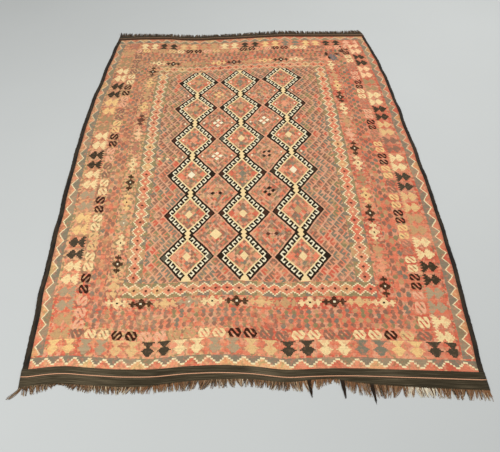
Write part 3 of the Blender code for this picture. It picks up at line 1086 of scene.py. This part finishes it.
def makeCloth(material):
    # x is a share of the half width at its row, and y runs between the curves of the two ends;
    # the outermost column is the rug's own edge and has cells in the bands alone
    columns, bandRows, fieldRows = (clothValues[name] for name in ("columns", "bandRows", "fieldRows"))
    share = np.concatenate([[-1.0], np.linspace(-1.0, 1.0, columns + 1), [1.0]])
    outermost = np.zeros(len(share), bool)
    outermost[[0, -1]] = True
    tableX = share * rugValues["cornerHalf"]
    nearStop, nearStart, farStop, farStart = (
        through(rugValues[end], line, tableX)
        for end in ("nearEnd", "farEnd") for line in (weavingEnds, bandStarts))

    near = np.linspace(0.0, 1.0, bandRows + 1)[:-1, None]
    middle = np.linspace(0.0, 1.0, fieldRows + 1)[:, None]
    far = np.linspace(0.0, 1.0, bandRows + 1)[1:, None]
    y = np.concatenate([
        nearStop + (nearStart - nearStop) * near,
        nearStart + (farStart - nearStart) * middle,
        farStart + (farStop - farStart) * far,
    ])
    along = np.concatenate([
        (nearStop - nearStart) * (1.0 - near) - layout["near"],
        middle * (layout["far"] + layout["near"]) - layout["near"] + 0.0 * share,
        (farStop - farStart) * far + layout["far"],
    ])
    half = np.where(share < 0, clothHalf(-1, y), clothHalf(1, y))
    edge = np.where(share < 0, outerHalf(-1, y), outerHalf(1, y))
    x = share * np.where(outermost, edge, half)
    across = share * np.where(outermost, edge / half, 1.0)
    z = cockle(x, y) + ripple(x, y)
    rows = len(y)
    faces = gridFaces(rows, len(share))
    cellColumn = np.tile(np.arange(len(share) - 1), rows - 1)
    cellRow = np.repeat(np.arange(rows - 1), len(share) - 1)
    beside = (cellRow >= bandRows) & (cellRow < bandRows + fieldRows)
    faces = faces[~(beside & ((cellColumn == 0) | (cellColumn == len(share) - 2)))]

    cloth = makePiece("cloth", np.stack([x, y, z], axis=-1), faces, material)
    pattern = cloth.data.uv_layers.new(name="pattern")
    uv = np.stack([across, along], axis=-1).reshape(-1, 2)
    pattern.data.foreach_set("uv", uv[faces.ravel()].ravel())
    solid = cloth.modifiers.new("thickness", "SOLIDIFY")
    solid.thickness = rugValues["clothThick"]
    solid.offset = 1.0
    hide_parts("kilim_cloth")
    area = sum(face.area for face in cloth.data.polygons)
    return cloth, area


cloth, clothArea = makeCloth(kilimWool())
print("cloth woven, square metres:", round(clothArea, 3))

# ---- selvedges ----

selvedgeValues = {
    "thick": 0.0060,
    "cords": 4,
    "wrapPitch": 0.0046,
    "rowStep": 0.0010,
    "around": 24,  # points round it
    "topShare": 0.75,  # share of them that lie on top
    "coreHigh": 0.62,  # shares of the thickness
    "archHigh": 0.18,
    "wrapHigh": 0.20,
    "archRound": 0.6,
    "shoulderRound": 0.35,
    "lean": 0.9,  # wraps that the winding moves on across the selvedge
    "stray": 0.0012,
    "plump": 0.10,
    "knots": 300,
    "taper": {"long": 0.006, "by": 0.4},
    "inset": 0.0006,
    "wrapOut": 0.0004,
    "edgeOnly": 0.2,
    "lift": 0.0002,
}

hairValues = {
    "tone": (60.0, 14.0),  # scales of the noise across and along
    "hair": (400.0, 1500.0),
    "brown": (1.6, 0.6, 0.0, 0.8),
    "bump": (0.5, 0.0006),
}


def goatHair():
    dye, values = Shader("goat_hair"), hairValues
    tone = dye.noise(dye.hairs(*values["tone"]), detail=3.0)
    hair = dye.noise(dye.hairs(*values["hair"]), detail=2.0)
    colour = dye.blend(tone.ramp(*values["brown"]), yarns["pitch"], yarns["bark"])
    return dye.finish(Base_Color=dye.scaled(colour, hair * 0.9 + 0.5), Roughness=0.82,
                      Normal=dye.bump(hair, *values["bump"]),
                      Sheen_Weight=0.04, Sheen_Roughness=0.5, Specular_IOR_Level=0.25)


def makeSelvedge(name, node, side, material, seed):
    # a flat row of cords, its top a row of arches, with ribs of winding that run aslant over them
    values, topShare = selvedgeValues, selvedgeValues["topShare"]
    chance = np.random.default_rng(seed)
    nearY, farY = fieldEnds(side)
    rows = int((farY - nearY) / values["rowStep"])
    y = np.linspace(nearY + rugValues["gap"], farY - rugValues["gap"], rows)[:, None]
    turn = np.linspace(0.0, 1.0, values["around"], endpoint=False)[None, :]
    top = turn < topShare
    inward = np.where(top, turn / topShare, 1.0 - (turn - topShare) / (1.0 - topShare))
    inward = 0.5 - 0.5 * np.cos(pi * inward)

    knots = chance.uniform(-1.0, 1.0, (2, values["knots"]))
    places = np.linspace(-1.6, 1.6, values["knots"])
    stray = values["stray"] * np.interp(y, places, knots[0])
    plump = 1.0 + values["plump"] * np.interp(y, places, knots[1])
    arch = np.abs(np.sin(pi * values["cords"] * inward)) ** values["archRound"]
    wrap = np.abs(np.sin(pi * (y / values["wrapPitch"] + values["lean"] * inward)))
    shoulder = np.sin(pi * np.clip(inward, 0.0, 1.0)) ** values["shoulderRound"]
    relief = values["coreHigh"] + values["archHigh"] * arch + values["wrapHigh"] * wrap
    taper = values["taper"]
    ends = smoothStep(np.minimum(y - nearY, farY - y) / taper["long"]) * taper["by"] + 1.0 - taper["by"]
    high = values["thick"] * plump * shoulder * relief * ends
    outer = outerHalf(side, y)
    wide = rugValues["selvedgeWide"][side] - values["inset"]
    ribbed = values["wrapOut"] * wrap * (inward < values["edgeOnly"])
    x = side * (outer - values["inset"] + stray * (1.0 - inward) + ribbed - inward * wide)
    z = np.where(top, high, values["lift"]) + cockle(side * outer, y)
    places = np.stack([x, y + 0.0 * x, z], axis=-1)
    faces = gridFaces(rows, values["around"], around=True)
    if side > 0:
        faces = faces[:, ::-1]
    first = np.arange(values["around"])
    last = first + (rows - 1) * values["around"]
    caps = [first[::-1], last] if side < 0 else [first, last[::-1]]
    piece = makePiece(name, places, faces.tolist() + [cap.tolist() for cap in caps], material)
    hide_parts(node)
    return piece


hair = goatHair()
leftEdge = makeSelvedge("left_edge", "left_selvedge", -1, hair, seed=3)
rightEdge = makeSelvedge("right_edge", "right_selvedge", 1, hair, seed=8)
print("selvedges wound")

# ---- fringes ----

fringeValues = {
    "strands": 1500,
    "steps": 9,  # points along a strand
    "sides": 5,
    "radius": 0.00120,
    "tipShare": 0.60,
    "inset": 0.002,  # from the rug's corner
    "jitter": 0.0006,
    "under": 0.0020,  # how far a strand starts inside the weave
    "lengths": (0.50, 1.05),  # shares of the length at that place
    "shortest": 0.004,
    "reach": 1.556,  # no strand ends further from the middle
    "clump": 0.014,  # strands this close draw together at their tips
    "drawn": 0.45,  # how much of the way to their clump's middle
    "clumpLean": 0.006,
    "sway": {"high": 0.007, "long": 0.27},
    "strayLean": 0.0035,
    "tuftHalf": 0.0085,
    "brownWider": 0.007,
    "waves": (0.0005, 0.0024),
    "lift": 0.0022,
    "raised": 0.0008,
    "darkTone": 0.02,
    "fading": (-0.15, 0.35),
    # long tufts: place, tip, lean, and 1 where they are dark
    "near": {"node": "near_fringe", "table": "nearEnd", "outward": -1, "seed": 41,
             "long": ((-0.945, 1.538, -0.040, 0), (0.24, 1.530, 0.006, 1), (0.375, 1.535, 0.004, 1),
                      (0.49, 1.556, 0.006, 1))},
    "far": {"node": "far_fringe", "table": "farEnd", "outward": 1, "seed": 52,
            "long": ((-0.95, 1.552, -0.010, 1), (0.15, 1.546, 0.003, 1), (0.275, 1.556, -0.003, 1))},
}


def warpYarn(name, colours):
    dye = Shader(name)
    tone = dye.node("ShaderNodeAttribute", {"attribute_name": "tone"}, {}, "Fac")
    colour = dye.steps((tone * len(colours)).floor().clamped(0.0, len(colours) - 1.0), colours)
    fibre = dye.noise(dye.hairs(900.0, 260.0), detail=2.0)
    return dye.finish(Base_Color=dye.scaled(colour, fibre + 0.5), Roughness=0.88,
                      Normal=dye.bump(fibre, 0.4, 0.0004),
                      Sheen_Weight=0.04, Sheen_Roughness=0.5, Specular_IOR_Level=0.2)


def tubes(lines, radii, sides):
    # a ring of points round each point of each line, all rings in the plane across the rug's length
    angle = 2.0 * pi * np.arange(sides) / sides
    ring = np.stack([np.cos(angle), 0.0 * angle, np.sin(angle)], axis=-1)
    places = lines[:, :, None, :] + radii[:, :, None, None] * ring
    strands, steps = lines.shape[:2]
    starts = np.arange(strands)[:, None] * steps * sides
    faces = (gridFaces(steps, sides, around=True)[None] + starts[:, :, None]).reshape(-1, 4)
    first = np.arange(sides)[None] + starts
    caps = np.concatenate([first[:, ::-1], first + (steps - 1) * sides])
    return places, faces.tolist() + caps.tolist()


def makeFringe(name, end, material, toneOf):
    # strands leave the weaving straight, wave a little and draw together by clumps
    values, ends = fringeValues, fringeValues[end]
    chance = np.random.default_rng(ends["seed"])
    table, outward = rugValues[ends["table"]], ends["outward"]
    count, steps, sway = values["strands"], values["steps"], values["sway"]
    stop = [through(table, weavingEnds, side * rugValues["cornerHalf"]) for side in (-1, 1)]
    edges = [side * outerHalf(side, y) - side * values["inset"] for side, y in zip((-1, 1), stop)]
    start = np.linspace(*edges, count) + chance.uniform(-values["jitter"], values["jitter"], count)
    root = np.abs(through(table, weavingEnds, start)) - values["under"]
    long = through(table, fringeLong, start) * chance.uniform(*values["lengths"], count)
    clump = np.round(start / values["clump"] + 0.35 * np.sin(start * 40.0))
    clumpLean = chance.normal(0.0, values["clumpLean"], 400)[clump.astype(int) % 400]
    lean = sway["high"] * np.sin(2.0 * pi * start / sway["long"] + ends["seed"]) + clumpLean
    lean = lean + (clump * values["clump"] - start) * values["drawn"]
    lean = lean + chance.normal(0.0, values["strayLean"], count)
    dark = np.zeros(count)
    for place, tip, tuftLean, isDark in ends["long"]:
        close = np.abs(start - place) < values["tuftHalf"] + values["brownWider"] * (1 - isDark)
        long[close] = (tip - root[close]) * chance.uniform(0.80, 1.0, close.sum())
        lean[close] = (place - start[close]) * (0.8 * isDark) + tuftLean
        dark[close] = isDark
    long = np.minimum(np.maximum(long, values["shortest"]), values["reach"] - root)

    root, long, lean = root[:, None], long[:, None], lean[:, None]
    share = np.linspace(0.0, 1.0, steps)[None, :]
    wave = chance.uniform(*values["waves"], count)[:, None]
    phase = chance.uniform(0.0, 2.0 * pi, count)[:, None]
    x = start[:, None] + lean * share**1.5 + wave * share * np.sin(share * 7.0 + phase)
    y = outward * (root + long * share)
    thin = values["radius"] * (1.0 - (1.0 - values["tipShare"]) * share)
    lift = chance.uniform(0.0, values["lift"], count)[:, None] * np.sin(pi * share * 0.9)
    raised = ripple(start[:, None], outward * root) + values["raised"]
    z = thin + raised * (1.0 - share) ** 2 + lift
    places, faces = tubes(np.stack([x, y, z], axis=-1), thin + 0.0 * x, values["sides"])
    piece = makePiece(name, places, faces, material)

    tone = np.where(dark > 0, values["darkTone"], toneOf(start, chance))
    toneShift = (dark == 0) * chance.uniform(*values["fading"], count)
    tone = np.clip(tone[:, None] + toneShift[:, None] * share**2, 0.02, 0.98)
    tones = piece.data.attributes.new("tone", "FLOAT", "POINT")
    tones.data.foreach_set("value", np.repeat(tone.ravel(), values["sides"]))
    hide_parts(ends["node"])
    return piece


# from the darkest to the palest
nearColours = (yarns["soot"], yarns["bark"], (0.13, 0.070, 0.034), (0.25, 0.115, 0.048),
               (0.34, 0.21, 0.11), (0.55, 0.41, 0.25), (0.84, 0.76, 0.58))
# the far strands are darker than the near ones: painted shade for the dimmer far end
farColours = ((0.034, 0.017, 0.006), (0.060, 0.031, 0.012), (0.095, 0.054, 0.022),
              (0.15, 0.09, 0.042), (0.25, 0.17, 0.09), (0.40, 0.30, 0.18))


def nearTone(x, chance):
    # mostly browns, rusty about two places and on the right, and pale near the right corner
    def about(place, wide):
        return np.exp(-((x - place) / wide) ** 2)

    tone = chance.beta(1.6, 2.4, len(x)) * 0.95
    rusty = 0.7 * (about(-0.35, 0.10) + about(0.27, 0.06)) + 0.35 * (x > 0.32)
    tone = np.where(chance.uniform(0.0, 1.0, len(x)) < rusty, 0.5, tone)
    return np.where(chance.uniform(0.0, 1.0, len(x)) < 0.75 * about(0.69, 0.055), 0.95, tone)


def farTone(x, chance):
    return chance.beta(1.1, 2.9, len(x))


nearFringe = makeFringe("near_strands", "near", warpYarn("near_warp_yarn", nearColours), nearTone)
farFringe = makeFringe("far_strands", "far", warpYarn("far_warp_yarn", farColours), farTone)
print("fringes laid")

# ---- floor and light ----

roomValues = {
    "floorHalf": 9.0,
    "floorColour": (0.56, 0.58, 0.57),
    "wornShare": 0.93,
    "worldColour": (1.0, 1.0, 1.0),
    "worldStrength": 0.48,
    "keyPlace": (-2.0, -2.0, 3.8),
    "fillPlace": (2.3, 2.3, 3.8),
    "lightSize": 3.0,
    "lightPower": 100.0,
}


def makeFloor():
    half = roomValues["floorHalf"]
    corners = [(-half, -half, 0.0), (half, -half, 0.0), (half, half, 0.0), (-half, half, 0.0)]
    mesh = bpy.data.meshes.new("floor")
    mesh.from_pydata(corners, [], [(0, 1, 2, 3)])
    dye = Shader("floor_paint")
    place = dye.node("ShaderNodeTexCoord", {}, {}, "Object")
    tone = dye.noise(place, detail=4.0)
    pale = roomValues["floorColour"]
    worn = tuple(part * roomValues["wornShare"] for part in pale)
    mesh.materials.append(dye.finish(Base_Color=dye.blend(tone, worn, pale), Roughness=0.6))
    floor = bpy.data.objects.new("floor", mesh)
    bpy.context.collection.objects.link(floor)


def makeLight(name, place):
    # a round lamp that shines at the middle of the rug
    data = bpy.data.lights.new(name, "AREA")
    data.shape, data.size, data.energy = "DISK", roomValues["lightSize"], roomValues["lightPower"]
    light = bpy.data.objects.new(name, data)
    turned = Vector(place).to_track_quat("Z", "Y").to_matrix().to_4x4()
    light.matrix_world = Matrix.Translation(place) @ turned
    bpy.context.collection.objects.link(light)


makeFloor()
makeLight("key", roomValues["keyPlace"])
makeLight("fill", roomValues["fillPlace"])
world = bpy.data.worlds.new("studio")
world.use_nodes = True
background = world.node_tree.nodes["Background"]
background.inputs["Color"].default_value = (*roomValues["worldColour"], 1.0)
background.inputs["Strength"].default_value = roomValues["worldStrength"]
bpy.context.scene.world = world
bpy.context.scene.view_settings.view_transform = "Standard"
print("studio lit")
